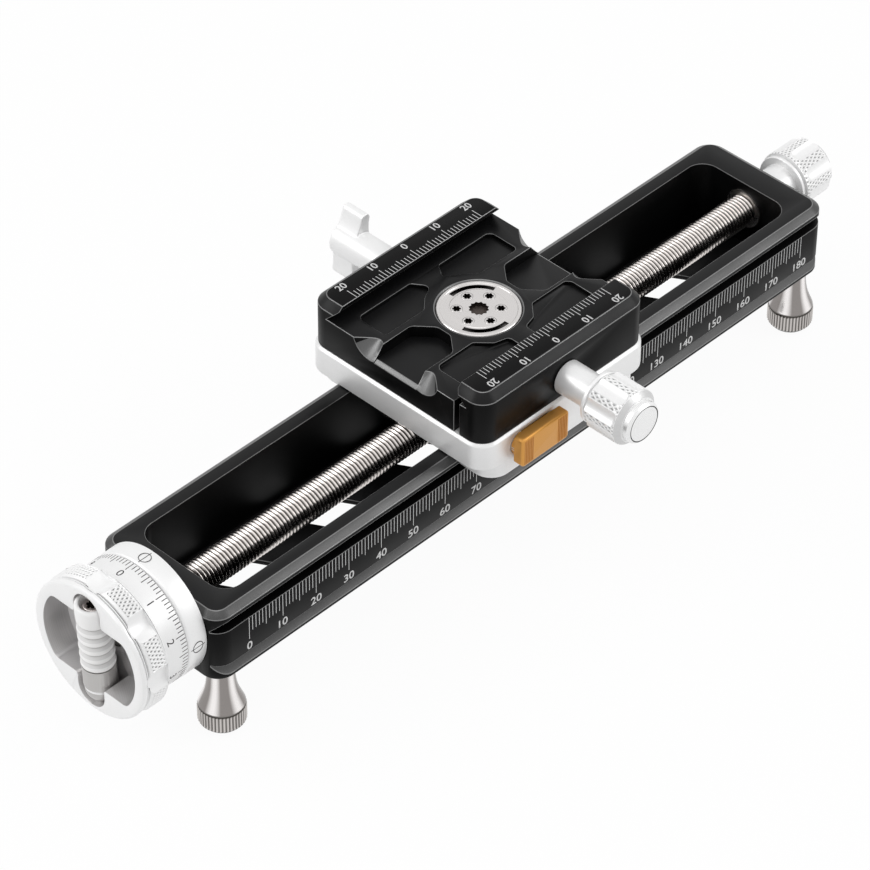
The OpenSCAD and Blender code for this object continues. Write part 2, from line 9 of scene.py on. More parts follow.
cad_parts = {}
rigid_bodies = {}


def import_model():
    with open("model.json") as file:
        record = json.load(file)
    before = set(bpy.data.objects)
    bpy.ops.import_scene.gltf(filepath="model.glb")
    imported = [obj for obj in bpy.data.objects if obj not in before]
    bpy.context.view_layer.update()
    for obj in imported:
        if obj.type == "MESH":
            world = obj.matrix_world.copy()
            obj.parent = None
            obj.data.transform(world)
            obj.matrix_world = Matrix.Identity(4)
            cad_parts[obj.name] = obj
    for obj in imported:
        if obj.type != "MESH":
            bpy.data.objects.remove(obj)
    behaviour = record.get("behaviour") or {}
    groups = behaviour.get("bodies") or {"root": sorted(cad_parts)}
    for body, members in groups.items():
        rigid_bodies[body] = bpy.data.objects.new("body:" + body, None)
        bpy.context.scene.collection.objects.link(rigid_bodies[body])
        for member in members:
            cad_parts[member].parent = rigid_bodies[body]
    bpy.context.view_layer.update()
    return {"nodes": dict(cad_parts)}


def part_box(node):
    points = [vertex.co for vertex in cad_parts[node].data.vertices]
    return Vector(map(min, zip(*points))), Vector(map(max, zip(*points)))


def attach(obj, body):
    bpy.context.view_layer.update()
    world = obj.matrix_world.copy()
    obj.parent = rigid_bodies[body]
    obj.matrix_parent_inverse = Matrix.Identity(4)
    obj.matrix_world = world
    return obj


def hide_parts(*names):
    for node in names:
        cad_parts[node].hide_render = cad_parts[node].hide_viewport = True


for left_over in list(bpy.data.objects):
    bpy.data.objects.remove(left_over)

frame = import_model()
cad = frame["nodes"]

# Everything below is in metres. One millimetre is the unit that sizes are written in.
MM = 0.001

# The rail's side, and the heights of the lead screw and of the clamping screw
RAIL_HALF_W = 18.5 * MM
SCREW_Z = 11.25 * MM
CROSS_Z = 30.9 * MM

# The rail's upper grooves, the foot of the jaws' slopes, and the top of the jaws
GROOVE_DEEP, GROOVE_LOW, GROOVE_HIGH = 15.5 * MM, 13.3 * MM, 16.35 * MM
JAW_FOOT = 35.4 * MM
CLAMP_TOP = 39.2 * MM

# How far painted marks stand proud of the metal, and how deep they reach into it
PAINT_PROUD = 0.015 * MM
PAINT_DEPTH = 0.06 * MM

# Where each foot stands under the rail, in millimetres
FEET = (("front_near", -94.1, -13.85), ("front_far", -94.1, 13.85), ("rear_near", 94.1, -13.85),
        ("rear_far", 94.1, 13.85))

# Ways to look along an axis: each turns a shape that was made upright, along +Z
ALONG_MINUS_X = Matrix.Rotation(radians(-90), 4, "Y")
ALONG_PLUS_X = Matrix.Rotation(radians(90), 4, "Y")
ALONG_MINUS_Y = Matrix.Rotation(radians(90), 4, "X")
ON_SCREW = Matrix.Translation((0, 0, SCREW_Z)) @ ALONG_MINUS_X


# Camera, floor and light

def add_camera():
    """The photograph's viewpoint: a long lens, from the front left and well above."""
    lens = bpy.data.cameras.new("camera")
    lens.sensor_width = 36
    lens.lens = 185.61
    lens.clip_start = 0.05
    lens.clip_end = 20
    camera = bpy.data.objects.new("camera", lens)
    right = Vector((0.695015, -0.718970, 0.006058))
    up = Vector((0.471890, 0.462492, 0.750614))
    back = Vector((-0.542470, -0.518830, 0.660713))
    turn = Matrix((right, up, back)).transposed()
    camera.matrix_world = Matrix.Translation((-0.56001, -0.52246, 0.67120)) @ turn.to_4x4()
    bpy.context.scene.collection.objects.link(camera)
    bpy.context.scene.camera = camera


def add_lamp(name, direction, distance, size, power):
    """A square white soft box that hangs in a direction from the object and faces it."""
    lamp = bpy.data.lights.new(name, "AREA")
    lamp.size = size
    lamp.energy = power
    box = bpy.data.objects.new(name, lamp)
    away = Vector(direction).normalized()
    facing = away.to_track_quat("Z", "Y").to_matrix().to_4x4()
    box.matrix_world = Matrix.Translation(Vector((0, 0, 0.02)) + away * distance) @ facing
    bpy.context.scene.collection.objects.link(box)


def add_node(tree, kind, values, **settings):
    """The outputs of a new node. Each value goes to the input it is listed under, linked or set."""
    node = tree.nodes.new(kind)
    for key, value in settings.items():
        setattr(node, key, value)
    for socket, value in values.items():
        if isinstance(value, bpy.types.NodeSocket):
            tree.links.new(value, node.inputs[socket])
        else:
            node.inputs[socket].default_value = value
    return node.outputs


def worked_out(tree, kind, operation, *values):
    """The result of a node's operation on plain values and other nodes' outputs."""
    outputs = add_node(tree, kind, dict(enumerate(values)), operation=operation)
    return outputs[int(operation in ("LENGTH", "DOT_PRODUCT"))]


def shown_white(tree):
    """1 where the camera, a gloss or a clear material sees the surface, and 0 where it only lights others."""
    rays = add_node(tree, "ShaderNodeLightPath", {})
    seen = rays["Is Camera Ray"]
    for kind in ("Is Glossy Ray", "Is Transmission Ray"):
        seen = worked_out(tree, "ShaderNodeMath", "MAXIMUM", seen, rays[kind])
    return seen


def add_world(fill):
    """A white surround that lights the object evenly at the strength fill."""
    world = bpy.data.worlds.new("surround")
    world.use_nodes = True
    tree = world.node_tree
    tree.nodes.clear()
    lit = add_node(tree, "ShaderNodeBackground", {"Color": (1, 1, 1, 1), "Strength": fill})
    seen = add_node(tree, "ShaderNodeBackground", {"Color": (1, 1, 1, 1), "Strength": 1})
    mix = add_node(tree, "ShaderNodeMixShader", {0: shown_white(tree), 1: lit[0], 2: seen[0]})
    add_node(tree, "ShaderNodeOutputWorld", {"Surface": mix[0]})
    bpy.context.scene.world = world


def add_floor(shadow):
    """A wide pale table under the feet; shadow is how much of the object's shadow it shows."""
    bpy.ops.mesh.primitive_plane_add(size=6, location=(0, 0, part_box("foot_front_near")[0].z - 0.0001))
    floor = bpy.context.object
    floor.name = "table"
    paint = bpy.data.materials.new("table_white")
    paint.use_nodes = True
    tree = paint.node_tree
    tree.nodes.clear()
    body = add_node(tree, "ShaderNodeBsdfDiffuse", {"Color": (0.9, 0.9, 0.9, 1)})
    glow = add_node(tree, "ShaderNodeEmission", {"Color": (1, 1, 1, 1)})
    share = worked_out(tree, "ShaderNodeMath", "MULTIPLY", shown_white(tree), 1 - shadow)
    mix = add_node(tree, "ShaderNodeMixShader", {0: share, 1: body[0], 2: glow[0]})
    add_node(tree, "ShaderNodeOutputMaterial", {"Surface": mix[0]})
    floor.data.materials.append(paint)


# Finishes

class Finish:
    """A material in the making: its tree, its shader, and patterns on the object's own coordinates."""

    def __init__(self, name, colour, metallic, roughness):
        self.material = bpy.data.materials.new(name)
        self.material.use_nodes = True
        self.tree = self.material.node_tree
        self.shader = self.tree.nodes["Principled BSDF"]
        self.shader.inputs["Base Color"].default_value = (*colour, 1)
        self.shader.inputs["Metallic"].default_value = metallic
        self.shader.inputs["Roughness"].default_value = roughness
        self.material.diffuse_color = (*colour, 1)
        self.place = add_node(self.tree, "ShaderNodeTexCoord", {})["Object"]

    def vector(self, operation, *values):
        return worked_out(self.tree, "ShaderNodeVectorMath", operation, *values)

    def number(self, operation, *values):
        return worked_out(self.tree, "ShaderNodeMath", operation, *values)

    def noise(self, size, detail=2):
        """Smooth speckle of a size in metres."""
        values = {"Vector": self.place, "Scale": 1 / size, "Detail": detail}
        return add_node(self.tree, "ShaderNodeTexNoise", values)["Fac"]

    def between(self, value, low, high, start=0.3, end=0.7):
        """value, which runs from start to end, brought to the range low to high."""
        values = {"Value": value, "From Min": start, "From Max": end, "To Min": low, "To Max": high}
        return add_node(self.tree, "ShaderNodeMapRange", values)["Result"]

    def show(self, output, name):
        """Links an output to the shader's input of that name."""
        self.tree.links.new(output, self.shader.inputs[name])

    def coloured(self, share, first, second):
        """A colour between two others, by share."""
        values = {"Factor": share, "A": (*first, 1), "B": (*second, 1)}
        self.show(add_node(self.tree, "ShaderNodeMix", values, data_type="RGBA")["Result"], "Base Color")

    def rough(self, value):
        self.show(value, "Roughness")

    def raised(self, height, depth):
        """Bump from a height of 0 to 1 that stands for depth in metres."""
        values = {"Strength": 1, "Distance": depth, "Height": height}
        self.show(add_node(self.tree, "ShaderNodeBump", values)[0], "Normal")


def blasted(name, colour, metallic, roughness, grain=0.12 * MM, depth=0.004 * MM, shift=0.12):
    """Bead-blasted and anodised metal: an even fine grain, and faint differences in tone and gloss."""
    finish = Finish(name, colour, metallic, roughness)
    speckle = finish.noise(grain, 3)
    finish.raised(speckle, depth)
    cloud = finish.noise(14 * MM, 3)
    finish.rough(finish.between(cloud, roughness - 0.05, roughness + 0.06))
    darker = [c * (1 - shift) for c in colour]
    lighter = [min(1, c * (1 + shift)) for c in colour]
    finish.coloured(finish.between(speckle, 0, 1), darker, lighter)
    return finish


def turned_metal(name, colour, metallic, roughness, axis_centre, axis, pitch=0.06 * MM, depth=0.0015 * MM):
    """Lathe-turned metal: fine rings round an axis, as a face or a barrel keeps from the tool."""
    finish = Finish(name, colour, metallic, roughness)
    along = {"x": (1, 0, 0), "y": (0, 1, 0), "z": (0, 0, 1)}[axis]
    shifted = finish.vector("SUBTRACT", finish.place, axis_centre)
    radial = finish.vector("SUBTRACT", shifted, finish.vector("PROJECT", shifted, along))
    radius, station = finish.vector("LENGTH", radial), finish.vector("DOT_PRODUCT", shifted, along)
    values = {"W": finish.number("ADD", radius, station), "Scale": 1 / pitch, "Detail": 2}
    ring = add_node(finish.tree, "ShaderNodeTexNoise", values, noise_dimensions="1D")["Fac"]
    finish.raised(ring, depth)
    finish.rough(finish.between(ring, roughness - 0.04, roughness + 0.06))
    darker = [c * 0.93 for c in colour]
    lighter = [min(1, c * 1.05) for c in colour]
    finish.coloured(finish.between(ring, 0, 1), darker, lighter)
    return finish


def valleys(name, centre, across, low, high, dark, light, metallic, roughness):
    """Metal painted dark in its valleys, low from an axis, as painted shade, and in its light colour on its
    crests, high from it.
    """
    finish = Finish(name, light, metallic, roughness)
    flat = finish.vector("MULTIPLY", finish.vector("SUBTRACT", finish.place, centre), across)
    finish.coloured(finish.between(finish.vector("LENGTH", flat), 0, 1, low * MM, high * MM), dark, light)
    finish.raised(finish.noise(0.3 * MM), 0.003 * MM)
    finish.rough(finish.between(finish.noise(3 * MM), roughness - 0.03, roughness + 0.05))
    return finish


def streaked(name, centre, count, first, dark, light, low, roughness):
    """Turned metal round an upright axis, with count light streaks of painted reflection between dark bands,
    one at the bearing first in degrees.
    """
    finish = Finish(name, light, 1, roughness)
    shifted = finish.vector("SUBTRACT", finish.place, centre)
    parts = add_node(finish.tree, "ShaderNodeSeparateXYZ", {0: shifted})
    bearing = finish.number("ARCTAN2", parts["Y"], parts["X"])
    wave = finish.number("COSINE", finish.number("MULTIPLY_ADD", bearing, count, radians(-count * first)))
    finish.coloured(finish.between(wave, 0, 1, low, 0.95), dark, light)
    finish.raised(finish.noise(0.25 * MM, 3), 0.002 * MM)
    finish.rough(finish.between(finish.noise(3 * MM), roughness - 0.03, roughness + 0.05))
    return finish


def grey(tone):
    return (tone, tone, tone)


def make_finishes():
    """Every finish on the object, by the name of what it covers."""
    screw_axis = (0, 0, SCREW_Z)
    cross_axis = (0, 0, CROSS_Z)
    pit_shade, shallow_pit_shade, silver = grey(0.07), grey(0.25), grey(0.88)
    made = {
        # The deeper black paints shade on upright faces and deep in the rail's upper grooves, and also covers
        # the jaws' tops.
        "black": blasted("black_anodised", (0.004, 0.004, 0.0043), 0, 0.38, depth=0.003 * MM),
        "deep_black_and_shade": blasted("deep_black_and_shade", (0.0015, 0.0015, 0.0016), 0, 0.4, depth=0.0015 * MM),
        "plate": blasted("silver_anodised", grey(0.82), 0.35, 0.4, shift=0.04),
        "white": blasted("white_silver", silver, 0.3, 0.4, shift=0.03),
        "gold": blasted("gold_anodised", (0.64, 0.31, 0.07), 0.7, 0.36, shift=0.05),
        "dial": turned_metal("dial_silver", grey(0.86), 0.3, 0.45, screw_axis, "x"),
        "pocket": turned_metal("milled_silver", (0.68, 0.67, 0.67), 0.8, 0.32, screw_axis, "x", 0.2 * MM,
                               0.004 * MM),
        "spun_cap": turned_metal("spun_silver", grey(0.86), 0.75, 0.28, cross_axis, "y"),
        "spun_rear": turned_metal("spun_silver_rear", grey(0.86), 0.75, 0.28, screw_axis, "x"),
        "disc": turned_metal("turned_steel", (0.66, 0.64, 0.63), 1, 0.24, (0, 0, 0), "z"),
        # The thread's roots and the knurls' pits are painted dark by their distance from the axis, as painted
        # shade.
        "thread": valleys("rolled_steel_root_shade", screw_axis, (0, 1, 1), 3.5, 3.85, (0.05, 0.045, 0.04),
                          (0.8, 0.75, 0.72), 1, 0.22),
        "main_knurl": valleys("main_knurl", screw_axis, (0, 1, 1), 16.9, 17.08, pit_shade, silver, 0.3, 0.4),
        "jaw_knurl": valleys("jaw_knurl", cross_axis, (1, 0, 1), 6.54, 6.72, shallow_pit_shade, silver, 0.3, 0.4),
        "rear_knurl": valleys("rear_knurl", screw_axis, (0, 1, 1), 7.04, 7.22, shallow_pit_shade, silver, 0.3, 0.4),
        "chrome": blasted("polished_steel", (0.78, 0.73, 0.71), 1, 0.18, shift=0.04),
        # These lighter metal greys paint sheen on the black parts' sloped faces.
        "sloped_black_sheen": blasted("sloped_black_sheen", grey(0.08), 1, 0.42, depth=0.002 * MM, shift=0.2),
        "sloped_grey_sheen": blasted("sloped_grey_sheen", grey(0.12), 1, 0.36, depth=0.002 * MM, shift=0.15),
        # The broken edges of the black parts and the plate take these lighter finishes, a painted highlight.
        "black_edge": blasted("black_edge_highlight", grey(0.2), 1, 0.3, shift=0.15),
        "plate_edge": blasted("silver_edge_highlight", grey(0.86), 0.4, 0.4, shift=0.02),
        "cone": blasted("turned_cone", grey(0.62), 0.6, 0.36, shift=0.03),
        "groove": blasted("groove_shade", grey(0.14), 0.5, 0.4, shift=0.05),
        # The button's ribs take a darker gold, painted shade.
        "dark_gold": blasted("ribbed_gold_shade", (0.5, 0.22, 0.045), 0.7, 0.36, shift=0.05),
        # The arc grooves are dark in their middles and light at their ends, painted reflection.
        "arc": streaked("arc_groove_painted_reflection", (0, 0, 0), 2, 147, (0.006, 0.005, 0.005), (0.5, 0.48, 0.47), -0.8, 0.3),
        # The serrated hole and the sockets are painted dark, as shade in recesses.
        "hole": blasted("serrated_hole_shade", (0.09, 0.075, 0.068), 1, 0.35, shift=0.2),
        "socket": blasted("socket_shade", (0.045, 0.038, 0.034), 1, 0.4, shift=0.1),
        "stem": turned_metal("machined_grey", (0.5, 0.49, 0.48), 0.9, 0.35, (0, 0, 0), "z", 0.05 * MM),
        "steel": blasted("bright_steel", (0.6, 0.58, 0.56), 1, 0.25, shift=0.04),
        "dark_steel": blasted("dark_steel", (0.2, 0.19, 0.185), 1, 0.3, shift=0.08),
        "grip": blasted("white_grip", (0.9, 0.895, 0.89), 0.0, 0.2, depth=0.001 * MM, shift=0.01),
        # Two greyer whites paint shade on the grip's rib slopes and notches.
        "grip_shade": blasted("white_grip_shade", (0.76, 0.755, 0.75), 0.0, 0.22, shift=0.02),
        "grip_notch_shade": blasted("white_grip_notch_shade", (0.58, 0.57, 0.56), 0.0, 0.25, shift=0.04),
        "bronze": blasted("bearing_bronze", (0.012, 0.009, 0.006), 0.2, 0.6),
        "plastic": blasted("slide_plastic", (0.75, 0.73, 0.68), 0, 0.5, shift=0.03),
        "paint": blasted("white_fill", grey(0.66), 0, 0.6, shift=0.04),
        "ink": blasted("black_fill", (0.02, 0.018, 0.018), 0, 0.65, shift=0.1),
    }
    for corner, x, y in FEET:
        centre = (x * MM, y * MM, 0)
        # The feet's knurl valleys are painted dark as shade; their necks carry streaks of painted reflection.
        made["foot_" + corner] = valleys("foot_steel_valley_shade_" + corner, centre, (1, 1, 0), 5.2, 5.4,
                                         (0.06, 0.055, 0.05), (0.6, 0.57, 0.55), 1, 0.16)
        made["neck_" + corner] = streaked("foot_neck_painted_reflection_" + corner, centre, 5, 202, (0.27, 0.25, 0.24),
                                          (0.9, 0.87, 0.86), -0.3, 0.2)
    for name, level in (("black", 0.2), ("deep_black_and_shade", 0.1), ("ink", 0.2), ("paint", 0.2)):
        made[name].shader.inputs["Specular IOR Level"].default_value = level
    return {name: finish.material for name, finish in made.items()}


# Modelling helpers

def clear_selection():
    for other in bpy.context.view_layer.objects:
        other.select_set(False)


def only(piece):
    """Makes one object the only one selected, and the active one."""
    clear_selection()
    piece.select_set(True)
    bpy.context.view_layer.objects.active = piece
    return piece


def pick(piece, kind, wanted):
    """Opens edit mode, with only the elements selected that wanted(element, mesh) is true for."""
    only(piece)
    mesh = piece.data
    bpy.ops.object.mode_set(mode="EDIT")
    bpy.ops.mesh.select_mode(type={"polygons": "FACE", "edges": "EDGE", "vertices": "VERT"}[kind])
    bpy.ops.mesh.select_all(action="DESELECT")
    bpy.ops.object.mode_set(mode="OBJECT")
    for element in getattr(mesh, kind):
        element.select = bool(wanted(element, mesh))
    bpy.ops.object.mode_set(mode="EDIT")


def close_edit():
    bpy.ops.object.mode_set(mode="OBJECT")


def edit_all(piece):
    """Opens edit mode on the whole of a piece."""
    only(piece)
    bpy.ops.object.mode_set(mode="EDIT")
    bpy.ops.mesh.select_all(action="SELECT")


def press_in(piece, wanted, share):
    """Brings the chosen points to a share of their distance from +Z."""
    pick(piece, "vertices", wanted)
    bpy.ops.transform.resize(value=(share, share, 1), center_override=(0, 0, 0))
    close_edit()


def part_round(point):
    """How far round +Z a point lies, from 0 to 1."""
    return (atan2(point.y, point.x) % (2 * pi)) / (2 * pi)


def paint_faces(piece, index, wanted):
    """Gives the finish at index to the faces that wanted(distance from +Z, height) picks, in millimetres."""
    for face in piece.data.polygons:
        if wanted(hypot(face.center.x, face.center.y) / MM, face.center.z / MM):
            face.material_index = index


def put(piece, matrix):
    """Moves a piece and keeps its place in its mesh, with its normals outwards."""
    piece.matrix_world = matrix @ piece.matrix_world
    only(piece)
    bpy.ops.object.transform_apply()
    return piece


def tidy_mesh(piece, distance=0.0008 * MM):
    """Closes seams and poles, and turns every face outwards."""
    edit_all(piece)
    bpy.ops.mesh.remove_doubles(threshold=distance)
    bpy.ops.mesh.normals_make_consistent(inside=False)
    close_edit()
    return piece


def use_modifier(piece, kind, **settings):
    """Adds one modifier with its settings, and applies it."""
    only(piece)
    modifier = piece.modifiers.new(kind.lower(), kind)
    for key, value in settings.items():
        setattr(modifier, key, value)
    bpy.ops.object.modifier_apply(modifier=modifier.name)
    return piece


def cut(piece, *cutters):
    """Takes the cutters' shapes out of a piece, and throws the cutters away."""
    for cutter in cutters:
        use_modifier(piece, "BOOLEAN", object=cutter, operation="DIFFERENCE", solver="EXACT")
        bpy.data.objects.remove(cutter)
    return piece


def join(pieces):
    """One object from several, with the first one's name."""
    clear_selection()
    for piece in pieces:
        piece.select_set(True)
    bpy.context.view_layer.objects.active = pieces[0]
    bpy.ops.object.join()
    return pieces[0]


def copy_of(piece):
    """A second object with its own mesh."""
    twin = piece.copy()
    twin.data = piece.data.copy()
    bpy.context.scene.collection.objects.link(twin)
    return twin


def soft_edges(piece, width, angle=32):
    """Breaks the sharp edges by a small width, as a tool or tumbling does."""
    return use_modifier(piece, "BEVEL", width=width, segments=2, limit_method="ANGLE",
                        angle_limit=radians(angle), use_clamp_overlap=False, miter_outer="MITER_ARC",
                        harden_normals=False)


def smooth(piece, angle=32):
    only(piece)
    bpy.ops.object.shade_smooth_by_angle(angle=radians(angle), keep_sharp_edges=False)
    return piece


def finish_piece(piece, name, material, body, slot, *nodes):
    """Names a piece, gives it its finish if it has none, ties it to its body, and hides the CAD nodes it
    stands in for.
    """
    piece.name = name
    piece.data.name = name
    if not piece.data.materials:
        piece.data.materials.append(material)
    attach(piece, body)
    if nodes:
        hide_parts(*nodes)
    return piece


def draw_line(points):
    """A line of points (radius, height) in the XZ plane, extruded point by point."""
    bpy.ops.mesh.primitive_plane_add(size=MM, location=(0, 0, 0))
    piece = bpy.context.object
    edit_all(piece)
    bpy.ops.mesh.select_mode(type="VERT")
    bpy.ops.mesh.merge(type="CENTER")
    here = Vector((points[0][0], 0, points[0][1])) * MM
    bpy.ops.transform.translate(value=here)
    for radius, height in points[1:]:
        there = Vector((radius, 0, height)) * MM
        bpy.ops.mesh.extrude_region_move(TRANSFORM_OT_translate={"value": there - here})
        here = there
    close_edit()
    return piece


def lathe(profile, steps=128):
    """Spins points (radius, height) round +Z. They start and end on the axis, or close on themselves."""
    piece = draw_line(profile)
    edit_all(piece)
    bpy.ops.mesh.spin(steps=steps, angle=2 * pi, center=(0, 0, 0), axis=(0, 0, 1))
    close_edit()
    return tidy_mesh(piece, 0.002 * MM)


def block(low, high):
    """A plain box between two corners, in millimetres, as a start or a cutter."""
    low, high = Vector(low) * MM, Vector(high) * MM
    bpy.ops.mesh.primitive_cube_add(size=1, location=(low + high) / 2, scale=high - low)
    piece = bpy.context.object
    only(piece)
    bpy.ops.object.transform_apply()
    return piece


def outer_edges(mesh):
    """The edges where two faces meet sharply and stand out, by index."""
    sides = {}
    for face in mesh.polygons:
        corners = list(face.vertices)
        for a, b in zip(corners, corners[1:] + corners[:1]):
            sides.setdefault((min(a, b), max(a, b)), []).append((face, a, b))
    found = set()
    for edge in mesh.edges:
        pair = sides.get(tuple(sorted(edge.vertices)), ())
        if len(pair) == 2:
            (face, a, b), other = pair[0], pair[1][0]
            inwards = face.normal.cross(mesh.vertices[b].co - mesh.vertices[a].co)
            if face.normal.angle(other.normal, 0) > radians(32) and other.normal.dot(inwards) < 0:
                found.add(edge.index)
    return found


def bright_edges(piece, width, index):
    """Breaks the outer edges by a small width, and gives the new faces the finish at index."""
    found = outer_edges(piece.data)
    pick(piece, "edges", lambda edge, mesh: edge.index in found)
    bpy.ops.mesh.bevel(offset=width, segments=2, affect="EDGES", clamp_overlap=False, material=index,
                       miter_outer="ARC")
    close_edit()
    return piece


def dressed_copy(node):
    """A copy of a CAD node's mesh, with its facets merged."""
    piece = copy_of(cad[node])
    piece.parent = None
    for key in [k for k in piece.keys() if k.startswith("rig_")]:
        del piece[key]
    piece.data.materials.clear()
    tidy_mesh(piece, 0.0006 * MM)
    use_modifier(piece, "DECIMATE", decimate_type="DISSOLVE", angle_limit=radians(1.5))
    return smooth(piece)


# Parts that keep their machined shape

def black_shade(face):
    """Which black a face has: 0 on level faces; 1, the deeper black, on upright faces and deep in the rail's
    upper grooves as painted shade, and on the jaws' tops; 2, a lighter metal grey, on sloped faces as painted
    sheen.
    """
    across, high = abs(face.center.y), face.center.z
    if abs(face.normal.z) < 0.35 or (high > JAW_FOOT and face.normal.z > 0.95):
        return 1
    if across > GROOVE_DEEP and GROOVE_LOW < high < GROOVE_HIGH:
        return 1
    return 2 if face.normal.z < 0.95 and 0 < high < JAW_FOOT and face.normal.z > 0 else 0


def dress_machined_parts(made):
    """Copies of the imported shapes, with their facets merged and their edges broken."""
    # Each row: node, body, slot, edge width in millimetres, finishes. On the black parts the second finish is
    # the deeper black, painted shade on upright faces and in grooves, and the third a lighter grey, painted
    # sheen on slopes.
    plan = (
        ("rail_frame", "rail", "black_anodised", 0.13, ("black", "deep_black_and_shade", "sloped_black_sheen", "black_edge")),
        ("clamp_body", "clamp", "black_anodised", 0.13, ("black", "deep_black_and_shade", "sloped_grey_sheen", "black_edge")),
        ("moving_jaw", "jaw", "black_anodised", 0.13, ("black", "deep_black_and_shade", "sloped_grey_sheen", "black_edge")),
        ("carriage_plate", "carriage", "silver_anodised", 0.14, ("plate", "plate_edge")),
        ("index_collar", "rail", "white_silver", 0.15, ("white", "white")),
    )
    for node, body, slot, edge, finishes_here in plan:
        piece = dressed_copy(node)
        mark_faces(piece, [made[name] for name in finishes_here], 0)
        if "deep_black_and_shade" in finishes_here:
            for face in piece.data.polygons:
                face.material_index = black_shade(face)
        # The broken edges take the last finish, which on the black parts and the plate is a lighter one, a
        # painted highlight.
        bright_edges(piece, edge * MM, len(finishes_here) - 1)
        finish_piece(smooth(piece), node + "_finished", None, body, slot, node)


def model_lever(made):
    """The wing lever, with the soft corners of a casting."""
    lever = dressed_copy("pan_lock_lever")
    use_modifier(lever, "REMESH", mode="VOXEL", voxel_size=0.16 * MM)
    use_modifier(lever, "SMOOTH", factor=0.6, iterations=14)
    use_modifier(lever, "DECIMATE", ratio=0.4)
    finish_piece(smooth(lever, 60), "pan_lock_lever_cast", made["white"], "pan_lock", "white_silver",
                 "pan_lock_lever")


# Lead screw

def model_lead_screw(made):
    """A rolled thread, 8 mm across with a 1 mm pitch, and its journals."""
    pitch = 1.0
    root, crest = 3.42, 4.0
    start, end = -91.6, 90.8
    turns = 184
    flank = ((root, 0), (root + 0.03, 0.09), (crest - 0.04, 0.41), (crest, 0.5),
             (crest - 0.04, 0.59), (root + 0.03, 0.91), (root, 1.0))
    piece = draw_line([(r, z * pitch) for r, z in flank])
    use_modifier(piece, "SCREW", axis="Z", screw_offset=pitch * MM, angle=2 * pi, steps=32, render_steps=32,
                 iterations=turns, use_merge_vertices=False)
    put(piece, Matrix.Translation(((start - pitch) * MM, 0, SCREW_Z)) @ ALONG_PLUS_X)
    tidy_mesh(piece)
    for x, keep in ((start, 1), (end, -1)):
        edit_all(piece)
        bpy.ops.mesh.bisect(plane_co=(x * MM, 0, SCREW_Z), plane_no=(-keep, 0, 0), use_fill=True,
                            clear_outer=True)
        close_edit()
    smooth(piece, 50)
    journals = []
    for low, high in ((-109.8, start), (end, 110.5)):
        journal = lathe([(0, low), (2.8, low), (3, low + 0.2), (3, high - 0.05), (0, high - 0.05)], 48)
        put(journal, Matrix.Translation((0, 0, SCREW_Z)) @ ALONG_PLUS_X)
        journals.append(smooth(journal))
    piece = join([piece] + journals)
    finish_piece(piece, "lead_screw_thread", made["thread"], "screw", "steel", "lead_screw")


# Engraved marks

def numeral(text, height, weight=0.0, widened=1.0):
    """A number of a given height, flat, centred on the origin and facing +Z, with its paint's thickness."""
    bpy.ops.object.text_add(location=(0, 0, 0))
    piece = bpy.context.object
    only(piece)
    piece.data.body = text
    piece.data.size = 1
    piece.data.offset = weight
    piece.data.resolution_u = 5
    bpy.ops.object.convert(target="MESH")
    piece = bpy.context.object
    bpy.ops.object.origin_set(type="ORIGIN_GEOMETRY", center="BOUNDS")
    piece.location = (0, 0, 0)
    size = height / 0.72
    piece.scale = (widened * size, size, size)
    bpy.ops.object.transform_apply()
    use_modifier(piece, "SOLIDIFY", thickness=PAINT_DEPTH + PAINT_PROUD, offset=-1)
    return put(piece, Matrix.Translation((0, 0, PAINT_PROUD)))


def repeat_along_x(piece, count, step):
    """A row of equal copies, a step in millimetres apart, in one mesh."""
    return use_modifier(piece, "ARRAY", count=count, use_relative_offset=False, use_constant_offset=True,
                        constant_offset_displace=(step * MM, 0, 0))


def mark_rail_scale(made):
    """Millimetres from 0 to 180 on the rail's near side."""
    zero_x = -89.7
    last = 180
    half = 0.075
    top, short_end, five_end, ten_end = 13.36, 9.3, 8.3, 7.2
    face_y = -RAIL_HALF_W / MM
    front, back = face_y - PAINT_PROUD / MM, face_y + PAINT_DEPTH / MM
    rows = []
    for step, low, high in ((1, short_end, top), (5, five_end, short_end), (10, ten_end, five_end)):
        tick = block((zero_x - half, front, low), (zero_x + half, back, high))
        rows.append(repeat_along_x(tick, last // step + 1, step))
    for value in range(0, last + 1, 10):
        place = Matrix.Translation(((zero_x + value) * MM, -RAIL_HALF_W, 5.35 * MM)) @ ALONG_MINUS_Y
        rows.append(put(numeral(str(value), 2.15 * MM, 0.012, 1.12), place))
    finish_piece(join(rows), "rail_scale", made["paint"], "rail", "black_anodised")


def mark_jaw_scales(made):
    """Millimetres from 20 over 0 to 20 on top of each jaw. The near jaw's numbers read from behind."""
    half = 0.075
    low, high = (CLAMP_TOP - PAINT_DEPTH) / MM, (CLAMP_TOP + PAINT_PROUD) / MM
    for name, body, turn in (("far_jaw_scale", "clamp", 0), ("near_jaw_scale", "jaw", 180)):
        rows = []
        for step, start, end in ((1, 18.25, 20.3), (5, 20.3, 20.85), (10, 20.85, 21.3)):
            tick = block((-20 - half, start, low), (-20 + half, end, high))
            rows.append(repeat_along_x(tick, 40 // step + 1, step))
        for value in range(-20, 21, 10):
            place = Matrix.Translation((value * MM, 23.2 * MM, CLAMP_TOP))
            rows.append(put(numeral(str(abs(value)), 1.95 * MM, 0.014), place))
        piece = put(join(rows), Matrix.Rotation(radians(turn), 4, "Z"))
        finish_piece(piece, name, made["paint"], body, "black_anodised")


